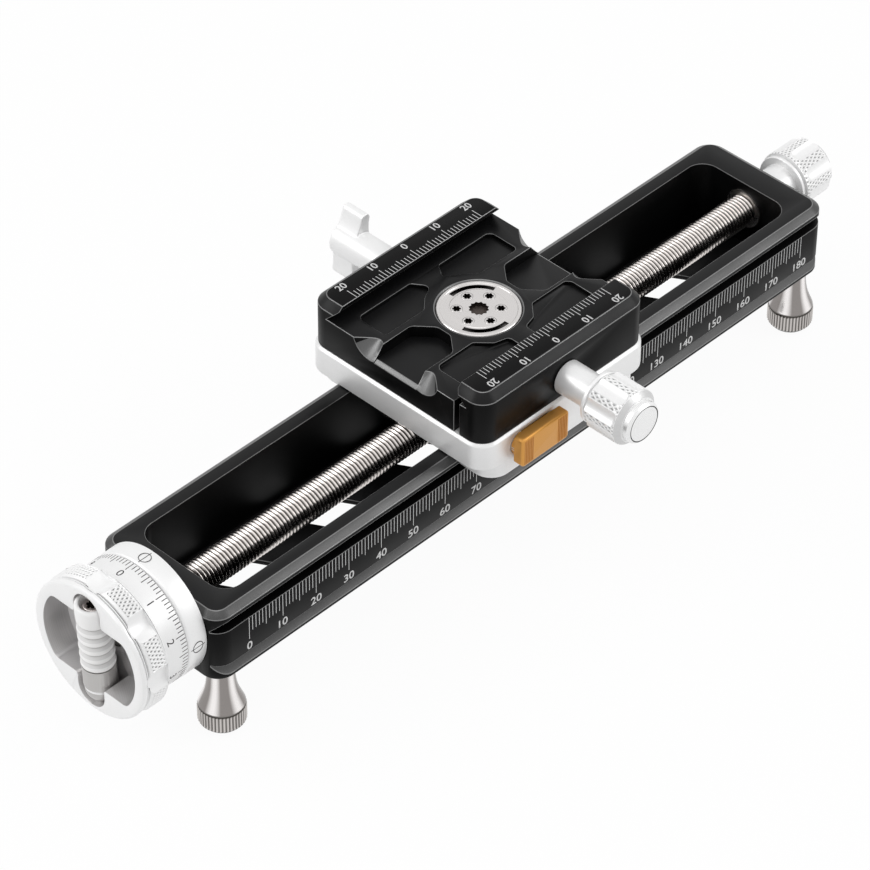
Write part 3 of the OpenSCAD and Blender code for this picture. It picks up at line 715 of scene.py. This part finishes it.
def round_copies(piece, count):
    """A ring of equal copies round +Z, in one mesh."""
    edit_all(piece)
    bpy.ops.mesh.spin(steps=count - 1, dupli=True, angle=2 * pi * (count - 1) / count, center=(0, 0, 0),
                      axis=(0, 0, 1))
    close_edit()
    return piece


def on_drum(angle, x, radius):
    """Where a mark on a drum round the screw goes, upright, at an angle from the top to -Y."""
    facing = Matrix(((0, 1, 0), (-1, 0, 0), (0, 0, 1))).to_4x4()
    return (Matrix.Translation((0, 0, SCREW_Z)) @ Matrix.Rotation(radians(angle), 4, "X")
            @ Matrix.Translation((x * MM, 0, radius * MM)) @ facing)


def mark_dial(made):
    """A hundred divisions, longer at each fifth, and the numbers 0 to 9 round the dial ring."""
    radius = 15.46
    half = 0.088
    deep, proud = radius - PAINT_DEPTH / MM, radius + PAINT_PROUD / MM
    first_angle = -1.5
    marks = []
    for count, start, end in ((100, 104.75, 106.25), (20, 106.25, 107.15)):
        row = round_copies(block((deep, -half, start), (proud, half, end)), count)
        turn = Matrix.Rotation(radians(-first_angle), 4, "Z")
        marks.append(put(row, ON_SCREW @ turn))
    for value in range(10):
        place = on_drum(first_angle + 36 * value, -108.65, radius)
        marks.append(put(numeral(str(value), 2.0 * MM, -0.004), place))
    finish_piece(join(marks), "dial_marks", made["ink"], "screw", "white_silver")


def mark_collar(made):
    """Four index marks on the fixed collar: a ring with a line through it."""
    radius = 15.6
    marks = []
    for quarter in range(4):
        ring = lathe([(1.3, 0.04), (1.3, -0.12), (1.44, -0.12), (1.44, 0.04), (1.3, 0.04)], 40)
        line = block((-0.07, -1.95, -0.12), (0.07, 1.95, 0.03))
        for part in (ring, line):
            marks.append(put(part, on_drum(90 * quarter, -101.9, radius)))
    finish_piece(join(marks), "index_marks", made["ink"], "rail", "white_silver")


# Main knob, dial and crank

def flute_cutter(radius, distance, low, high, cap):
    """A round cutter along +Z at a distance from the axis, with a domed top that is cap high."""
    points = [(0, low), (radius, low), (radius, high - cap)]
    steps = 10
    for step in range(1, steps + 1):
        lift = pi / 2 * step / steps
        points.append((radius * cos(lift), high - cap + cap * sin(lift)))
    cutter = lathe(points, 48)
    return put(cutter, Matrix.Translation((distance * MM, 0, 0)))


def sink_knurl(piece, radius, columns, rows, depth, index):
    """Presses a diamond knurl into a drum round +Z: every other point of its grid sinks."""
    def sinks(vertex, mesh):
        z = vertex.co.z / MM
        column = part_round(vertex.co) * columns
        level = round((z - rows[0]) / (rows[1] - rows[0]))
        on_grid = min(abs(z - row) for row in rows) < 0.01 and abs(column - round(column)) < 0.02
        on_drum = abs(hypot(*vertex.co.xy) / MM - radius) < 0.02
        return on_grid and on_drum and (round(column) + level) % 2 == 1

    for face in piece.data.polygons:
        corners = [piece.data.vertices[i].co for i in face.vertices]
        inside = all(rows[0] - 0.02 < c.z / MM < rows[-1] + 0.02 for c in corners)
        if inside and all(hypot(c.x, c.y) / MM > radius - 0.05 for c in corners):
            face.material_index = index
    press_in(piece, sinks, 1 - depth / radius)
    pick(piece, "polygons", lambda face, mesh: face.material_index == index)
    bpy.ops.mesh.quads_convert_to_tris(quad_method="LONGEST_DIAGONAL", ngon_method="BEAUTY")
    close_edit()
    return piece


def mark_faces(piece, materials, index):
    """Gives a cutter the piece's finishes, so that the walls it leaves take the one at index."""
    piece.data.materials.clear()
    for material in materials:
        piece.data.materials.append(material)
    for face in piece.data.polygons:
        face.material_index = index
    return piece


def arc(centre, radius, start, end, steps):
    """Points on an arc, from one angle in degrees to another."""
    turns = [radians(start + (end - start) * i / steps) for i in range(steps + 1)]
    return [(centre[0] + radius * cos(turn), centre[1] + radius * sin(turn)) for turn in turns]


def face_pocket(floor, front):
    """The knob's face pocket: round, flat at top and bottom, with soft corners and the crank's slot."""
    pocket_r, half_h, corner_r = 14.2, 9.0, 2.4
    slot_r, slot_reach, shoulder_r = 4.1, 11.6, 0.6
    x = half_h - corner_r
    y = ((pocket_r - corner_r) ** 2 - x ** 2) ** 0.5
    lift = degrees(atan2(y, x))
    quarter = arc((slot_reach, 0), slot_r, 0, 90, 14)
    quarter += arc((half_h + shoulder_r, slot_r + shoulder_r), shoulder_r, -90, -180, 4)
    quarter += arc((x, y), corner_r, 0, lift, 8)
    quarter += arc((0, 0), pocket_r, lift, 90, 14)[1:]
    half = quarter + [(-px, py) for px, py in reversed(quarter[:-1])]
    outline = draw_line(half + [(px, -py) for px, py in reversed(half[1:-1])])
    edit_all(outline)
    bpy.ops.mesh.edge_face_add()
    bpy.ops.mesh.extrude_region_move(TRANSFORM_OT_translate={"value": (0, (front - floor) * MM, 0)})
    close_edit()
    put(outline, Matrix.Translation((0, 0, floor * MM)) @ Matrix.Rotation(radians(90), 4, "X"))
    return tidy_mesh(outline)


def model_main_knob(made):
    """The big knob: eight knurled lobes, domed flutes, a stepped rim, and the pocket for the crank."""
    radius, lobes, columns = 17.2, 8, 224
    back, front, floor = 110.9, 118.9, 112.0
    finishes_here = (made["white"], made["pocket"], made["main_knurl"], made["groove"])
    rows = [back + 1.35 + 0.88 * i for i in range(5)]
    body = lathe([
        (0, 109.9), (3.05, 109.9), (3.05, 99.6), (4.2, 99.6), (4.2, 104.6), (10, 104.6), (10, back),
        (16.3, back), (16.45, back + 0.15), (16.45, back + 0.45), (16.1, back + 0.5), (16.1, back + 0.7),
        (17.05, back + 0.85), (17.2, back + 1.0), *((radius, row) for row in rows), (17.15, back + 5.1),
        (16.75, back + 5.7), (16.25, back + 5.74), (16.25, back + 6.0), (16.7, back + 6.08),
        (16.7, back + 6.3), (16.25, back + 6.38), (16.25, back + 6.64), (16.8, back + 6.7),
        (16.9, back + 6.82), (16.9, front - 0.55), (16.75, front - 0.25), (16.45, front - 0.06),
        (16.25, front), (0, front)], columns)
    mark_faces(body, finishes_here, 0)
    # The fine grooves' faces take the dark groove finish, painted shade.
    paint_faces(body, 3, lambda r, z: r < 16.35 and back + 0.3 < z < back + 6.8)
    flute_r, depth = 4.8, 1.3
    flutes = []
    for lobe in range(lobes):
        cutter = flute_cutter(flute_r, radius - depth + flute_r, back + 0.95, front, 2.6)
        put(cutter, Matrix.Rotation(2 * pi * lobe / lobes, 4, "Z"))
        flutes.append(mark_faces(cutter, finishes_here, 0))
    pocket = mark_faces(face_pocket(floor, front + 1), finishes_here, 1)
    recess = lathe([(0, 110.4), (3, 110.4), (3, floor + 0.5), (0, floor + 0.5)], 48)
    mark_faces(recess, finishes_here, 1)
    cut(body, *flutes, recess, pocket)
    soft_edges(body, 0.1 * MM, 40)
    sink_knurl(body, radius, columns, rows, 0.32, 2)
    smooth(body, 30)
    put(body, ON_SCREW)
    finish_piece(body, "main_knob_knurled", made["white"], "screw", "white_silver", "main_knob")


def model_dial(made):
    """The dial ring, with its edges broken and a fine groove next to the knob."""
    radius, start, end = 15.46, 104.6, 110.8
    ring = lathe([(10.05, start), (radius - 0.2, start), (radius, start + 0.12), (radius, end - 0.35),
                  (radius - 0.15, end - 0.2), (radius - 0.15, end), (10.05, end), (10.05, start)], 160)
    put(smooth(ring), ON_SCREW)
    finish_piece(ring, "dial_ring_turned", made["dial"], "screw", "white_silver", "dial_ring")


def on_crank():
    """Where a piece made upright round the crank's pivot goes."""
    return Matrix.Translation((-116 * MM, 0, -0.5 * MM)) @ Matrix.Rotation(radians(-3), 4, "Y")


def model_grip(made):
    """The turning grip: five ribs, a smooth barrel with a rounded mouth, and the hole for its screw."""
    low, pitch, ribs, top = 7.05, 2.57, 5, 25.0
    profile = [(1.55, low)]
    for rib in range(ribs):
        z = low + rib * pitch
        profile += [(3.2, z), (3.52, z + 0.06), (3.76, z + 0.25), (3.88, z + 0.6), (3.87, z + 0.95),
                    (3.76, z + 1.4), (3.58, z + 1.85), (3.38, z + 2.2), (3.2, z + 2.42)]
    z = low + ribs * pitch
    profile += [(3.6, z + 0.03), (3.8, z + 0.3), (3.87, z + 0.8), (3.88, top - 0.95), (3.8, top - 0.45),
                (3.6, top - 0.13), (3.35, top), (3, top), (2.84, top - 0.07), (2.75, top - 0.28),
                (2.75, 22.5), (1.55, 22.5), (1.55, low)]
    grip = lathe(profile, 96)
    mark_faces(grip, (made["grip"], made["grip_shade"], made["grip_notch_shade"]), 0)
    # The ribs' lower slopes take a greyer white and the notches a greyer one still, painted shade that
    # darkens into each notch.
    for index, crest in ((1, 3.7), (2, 3.4)):
        paint_faces(grip, index, lambda r, z: 3.1 < r < crest and z < top - 3)
    smooth(put(grip, on_crank()), 50)
    finish_piece(grip, "crank_grip_turned", made["grip"], "grip", "white_silver", "crank_grip")


def model_crank(made):
    """The crank's grey stem on its ball knuckle, with a bright edge, and the screw near the grip's mouth."""
    stem = dressed_copy("crank_stem")
    stem.data.materials.append(made["stem"])
    stem.data.materials.append(made["white"])
    back = on_crank().inverted()
    for face in stem.data.polygons:
        centre = back @ face.center
        face.material_index = 1 if 0.45 < centre.z / MM < 1.35 and hypot(centre.x, centre.y) > 3.3 * MM else 0
    finish_piece(stem, "crank_stem_machined", made["stem"], "crank", "steel", "crank_stem")
    screw = lathe([(0, 17.8), (0.78, 17.8), (0.78, 22.6), (2.1, 22.6), (2.2, 22.7), (2.2, 23.9), (1.9, 24.25),
                   (0, 24.3)], 48)
    # The star socket's walls take the dark socket finish, painted shade.
    mark_faces(screw, (made["chrome"], made["socket"]), 0)
    cut(screw, mark_faces(star_cutter(1.25, 23.3, 24.6), (made["chrome"], made["socket"]), 1))
    soft_edges(screw, 0.05 * MM)
    put(smooth(screw), on_crank())
    finish_piece(screw, "crank_end_screw_star", made["chrome"], "crank", "dark_steel", "crank_end_screw")


def star_cutter(radius, low, high):
    """A six-lobed socket round +Z."""
    cutter = lathe([(0, low), (radius, low), (radius, high), (0, high)], 24)

    def valley(vertex, mesh):
        return hypot(vertex.co.x, vertex.co.y) > 0.1 * MM and round(part_round(vertex.co) * 24) % 4 == 2

    press_in(cutter, valley, 0.72)
    return cutter


# Small fluted knobs

def model_small_knob(made, knurl, neck_r, neck_l, body_r, body_l, domes_at_face):
    """A knob upright on its neck. Its barrel is knurled, and eight scoops leave narrow lands."""
    columns = 88
    top = neck_l + body_l
    first, last = neck_l + 1.75, top - 1.35
    count = round((last - first) / 0.88)
    rows = [first + (last - first) * i / count for i in range(count + 1)]
    profile = [(0, 0), (neck_r - 0.15, 0), (neck_r, 0.15), (neck_r, neck_l), (body_r - 0.65, neck_l),
               (body_r - 0.5, neck_l + 0.15), (body_r - 0.5, neck_l + 0.75), (body_r - 0.65, neck_l + 0.9),
               (body_r - 1.2, neck_l + 0.95), (body_r - 1.2, neck_l + 1.25), (body_r - 0.15, neck_l + 1.45)]
    profile += [(body_r, row) for row in rows]
    profile += [(body_r - 0.15, last + 0.25), (body_r - 1.1, top - 0.15), (body_r - 1.3, top), (0, top)]
    knob = lathe(profile, columns)
    finishes_here = (made["white"], made[knurl], made["cone"])
    mark_faces(knob, finishes_here, 0)
    paint_faces(knob, 2, lambda r, z: z > last + 0.3 and r > body_r - 1.25)
    flute_r = 2.8
    for lobe in range(8):
        if domes_at_face:
            cutter = flute_cutter(flute_r, body_r + 2, neck_l + 1.1, top - 0.55, 1.7)
        else:
            cutter = flute_cutter(flute_r, body_r + 2, -top - 1, -neck_l - 1.9, 1.7)
            put(cutter, Matrix.Rotation(pi, 4, "X"))
        put(cutter, Matrix.Rotation(2 * pi * (lobe + 0.5) / 8, 4, "Z"))
        cut(knob, mark_faces(cutter, finishes_here, 0))
    sink_knurl(knob, body_r, columns, rows, 0.28, 1)
    return smooth(knob, 28)


def spun_cap(radius, thickness, finishes_here):
    """A thin disc cap, lying on z = 0: a rounded rim, a fine groove painted dark as shade, and a very
    slightly dished face.
    """
    profile = [(0, 0), (radius, 0), (radius, thickness - 0.75), (radius - 0.35, thickness - 0.2),
               (radius - 0.62, thickness - 0.02), (radius - 0.66, thickness - 0.3),
               (radius - 0.84, thickness - 0.3), (radius - 0.88, thickness - 0.04), (radius - 1, thickness),
               (0, thickness - 0.08)]
    cap = mark_faces(lathe(profile, 96), finishes_here, 0)
    paint_faces(cap, 1, lambda r, z: abs(r - radius + 0.75) < 0.13)
    return smooth(cap, 25)


def model_small_knobs(made):
    """The clamp's knob and the rear knob, each with its end disc."""
    jaw_at = Matrix.Translation((0, -26.7 * MM, CROSS_Z)) @ ALONG_MINUS_Y
    jaw = put(model_small_knob(made, "jaw_knurl", 4.1, 9.6, 6.8, 11.3, True), jaw_at)
    finish_piece(jaw, "jaw_knob_knurled", made["white"], "jaw_knob", "white_silver", "jaw_knob")
    cap_at = Matrix.Translation((0, -47.6 * MM, CROSS_Z)) @ ALONG_MINUS_Y
    cap = put(spun_cap(5.1, 2.0, (made["spun_cap"], made["groove"])), cap_at)
    finish_piece(cap, "jaw_knob_disc", made["spun_cap"], "jaw_knob", "white_silver", "jaw_knob_cap")
    turned = Matrix.Rotation(radians(-11), 4, "Z")
    rear_at = Matrix.Translation((99.6 * MM, 0, SCREW_Z)) @ ALONG_PLUS_X @ turned
    rear = put(model_small_knob(made, "rear_knurl", 5.0, 5.1, 7.3, 11.3, False), rear_at)
    finish_piece(rear, "rear_knob_knurled", made["white"], "screw", "white_silver", "rear_knob")
    cap_at = Matrix.Translation((116 * MM, 0, SCREW_Z)) @ ALONG_PLUS_X
    cap = put(spun_cap(5.6, 1.0, (made["spun_rear"], made["groove"])), cap_at)
    finish_piece(cap, "rear_knob_disc", made["spun_rear"], "screw", "white_silver", "rear_knob_cap")


# Feet

def model_feet(made):
    """Polished feet: a trumpet neck, a ring with a straight knurl, and a turned base."""
    ribs = 42
    knurl_top, knurl_low = -11.95, -15.75
    neck = [(3.04, 0), (3.04, -1.2), (3.08, -2.4), (3.2, -3.9), (3.38, -5.4), (3.68, -6.9), (4.08, -8.2),
            (4.56, -9.4), (5.02, -10.5), (5.24, -11.1), (5.28, -11.3)]
    rest = [(5.05, -11.42), (5.1, -11.6), (5.45, knurl_top), (5.45, knurl_low), (5.2, -16.05),
            (4.4, -17.0), (4.15, -17.2), (0, -17.2)]

    def valley(vertex, mesh):
        z = vertex.co.z / MM
        on_ring = min(abs(z - knurl_top), abs(z - knurl_low)) < 0.02
        return on_ring and round(part_round(vertex.co) * 2 * ribs) % 2 == 1

    for corner, x, y in FEET:
        name = "foot_" + corner
        place = Matrix.Translation((x * MM, y * MM, 0))
        foot = lathe([(0, 0)] + neck + rest, 2 * ribs)
        press_in(foot, valley, 0.955)
        put(smooth(foot, 24), place)
        stud = lathe([(0, 0), (1.5, 0), (1.5, 6.4), (1.2, 6.7), (0, 6.7)], 32)
        put(smooth(stud), place)
        join([foot, stud])
        # The neck takes light and dark streaks of painted reflection, and the knurled ring dark valleys of
        # painted shade.
        mark_faces(foot, (made["neck_" + corner], made[name]), 0)
        paint_faces(foot, 1, lambda r, z: z < -11.15)
        finish_piece(foot, name + "_turned", made["neck_" + corner], "rail", "foot_steel", name)


# Pan cap

def model_pan_cap(made):
    """The clamp's steel disc: a rim, a fine ring, two arc grooves, a serrated hole and six flush screws."""
    low, top, radius = 33.3, 34.8, 9.62
    ring, turn, count = 4.95, 15.5, 6
    disc = lathe([(0, low), (radius, low), (radius, top - 0.25), (radius - 0.2, top - 0.03),
                  (radius - 0.45, top), (radius - 0.8, top), (radius - 0.95, top - 0.12), (8.72, top - 0.12),
                  (8.6, top - 0.2), (6.72, top - 0.2), (6.6, top - 0.12), (0, top - 0.12)], 128)
    face = top - 0.12
    # The screw seats and star sockets take the dark socket finish and the serrated hole a dark steel, both
    # painted shade; the arc grooves take streaks of painted reflection.
    finishes_here = (made["disc"], made["socket"], made["arc"], made["hole"])
    mark_faces(disc, finishes_here, 0)
    teeth = 24
    hole = lathe([(0, low + 0.15), (2.35, low + 0.15), (2.35, top + 0.5), (0, top + 0.5)], teeth)
    press_in(hole, lambda vertex, mesh: round(part_round(vertex.co) * teeth) % 2 == 1, 0.84)
    cutters = [mark_faces(hole, finishes_here, 3)]
    for arc_turn in (57, 237):
        groove = draw_line([(7.2, face - 0.8), (8.2, face - 0.8), (8.4, top + 0.4), (7.05, top + 0.4),
                            (7.2, face - 0.8)])
        edit_all(groove)
        bpy.ops.mesh.remove_doubles(threshold=0.001 * MM)
        bpy.ops.mesh.edge_face_add()
        bpy.ops.mesh.spin(steps=30, angle=radians(80), center=(0, 0, 0), axis=(0, 0, 1))
        close_edit()
        mark_faces(tidy_mesh(groove), finishes_here, 2)
        spread = [atan2(v.co.y, v.co.x) for v in groove.data.vertices]
        middle = (min(spread) + max(spread)) / 2
        cutters.append(put(groove, Matrix.Rotation(radians(arc_turn) - middle, 4, "Z")))
    screws = []
    for index in range(count):
        place = Matrix.Rotation(radians(turn + 60 * index), 4, "Z") @ Matrix.Translation((ring * MM, 0, 0))
        seat = lathe([(0, low - 0.3), (0.95, low - 0.3), (0.95, low + 0.5), (1.35, low + 0.5),
                      (1.35, top + 0.3), (0, top + 0.3)], 40)
        cutters.append(put(mark_faces(seat, finishes_here, 1), place))
        screw = lathe([(0, 20.6), (0.88, 20.6), (0.88, low + 0.5), (1.33, low + 0.5), (1.33, face - 0.06),
                       (1.27, face), (0, face)], 40)
        mark_faces(screw, finishes_here, 0)
        cut(screw, mark_faces(star_cutter(0.98, face - 0.9, top), finishes_here, 1))
        screws.append(put(smooth(soft_edges(screw, 0.03 * MM)), place))
    cut(disc, *cutters)
    smooth(soft_edges(disc, 0.05 * MM), 32)
    finish_piece(disc, "pan_cap_turned", made["disc"], "carriage", "steel", "pan_cap")
    finish_piece(join(screws), "pan_cap_star_screws", made["disc"], "carriage", "steel", "pan_cap_screws")


# Release button

def round_corners(piece, length, radius, segments):
    """Rounds the edges that run along Y for more than a length, in millimetres."""
    def corner(edge, mesh):
        a, b = (mesh.vertices[i].co for i in edge.vertices)
        return abs(a.y - b.y) > length * MM

    pick(piece, "edges", corner)
    bpy.ops.mesh.bevel(offset=radius * MM, segments=segments, affect="EDGES")
    close_edit()


def model_button(made):
    """The gold button: a rounded plate with ribbed ends and a plain middle, on a round-ended boss."""
    x, z = -11, 22.0
    half_w, half_h = 7.45, 3.93
    front, back = -31.0, -28.4
    plate = block((x - half_w, front, z - half_h), (x + half_w, back, z + half_h))
    round_corners(plate, 1, 1.0, 6)

    def rim(edge, mesh):
        return all(abs(mesh.vertices[i].co.y - front * MM) < 0.01 * MM for i in edge.vertices)

    pick(plate, "edges", rim)
    bpy.ops.mesh.bevel(offset=0.55 * MM, segments=4, affect="EDGES")
    close_edit()
    finishes_here = (made["gold"], made["dark_gold"])
    parts = [mark_faces(smooth(plate, 30), finishes_here, 0)]
    pitch, count = 0.5, 6
    for start in (x - half_w + 0.85, x + half_w - 0.85 - pitch * (count - 1)):
        rib = block((start - 0.17, front - 0.1, z - half_h + 0.6),
                    (start + 0.17, front + 0.1, z + half_h - 0.6))
        # The ribs take the darker gold, painted shade over the button's ribbed ends.
        mark_faces(rib, finishes_here, 1)
        use_modifier(rib, "BEVEL", width=0.09 * MM, segments=2, limit_method="ANGLE", angle_limit=radians(60))
        parts.append(repeat_along_x(rib, count, pitch))
    boss_x, boss_z, boss_r = 4.1, 21.7, 3.1
    boss = block((x - boss_x - boss_r, back - 0.05, boss_z - boss_r),
                 (x + boss_x + boss_r, -27.3, boss_z + boss_r))
    round_corners(boss, 0.8, 3.05, 10)
    parts.append(mark_faces(smooth(boss, 30), finishes_here, 0))
    finish_piece(join(parts), "push_button_ribbed", made["gold"], "release", "gold_anodised", "push_button")


# Parts that stay as the CAD made them

def give_finishes(made):
    """CAD nodes that stay as they are get their finish."""
    plan = {
        "white": ("index_collar", "dial_ring", "main_knob", "rear_knob", "rear_knob_cap", "jaw_knob",
                  "jaw_knob_cap", "pan_lock_lever"),
        "grip": ("crank_grip",),
        "stem": ("crank_stem",),
        "gold": ("push_button",),
        "disc": ("pan_cap",),
        "thread": ("lead_screw",),
        "steel": ("pan_post", "guide_pins", "jaw_springs", "jaw_screw", "pan_lock_screw", "thrust_washers",
                  "release_spring", "release_slider", "crank_pin", "pan_cap_screws"),
        "dark_steel": ("collar_screws", "knob_screw", "rear_set_screw", "gib_screws", "crank_end_screw"),
        "bronze": ("front_bush", "rear_bush", "half_nut", "gib_strip"),
        "plastic": ("glide_strips", "pan_washer", "pan_lock_shoe"),
        "black": ("rail_frame", "clamp_body", "moving_jaw"),
        "plate": ("carriage_plate",),
    }
    plan.update({"foot_" + corner: ("foot_" + corner,) for corner, x, y in FEET})
    for finish, nodes in plan.items():
        for node in nodes:
            cad[node].data.materials.clear()
            cad[node].data.materials.append(made[finish])


add_camera()
add_lamp("key", (0.54, -0.64, 0.54), 1.0, 0.5, 2.6)
add_lamp("edge", (-0.66, 0.5, 0.56), 1.0, 0.45, 2.6)
add_lamp("top", (-0.2, -0.1, 1), 1.1, 0.7, 1.6)
add_world(0.62)
clear_selection()
add_floor(0.05)
finishes = make_finishes()
for build in (give_finishes, dress_machined_parts, model_lever, model_lead_screw, model_main_knob, model_dial,
              model_grip, model_crank, model_small_knobs, model_feet, model_pan_cap, model_button,
              mark_rail_scale, mark_jaw_scales, mark_dial, mark_collar):
    build(finishes)

bpy.context.scene.view_settings.view_transform = "Standard"
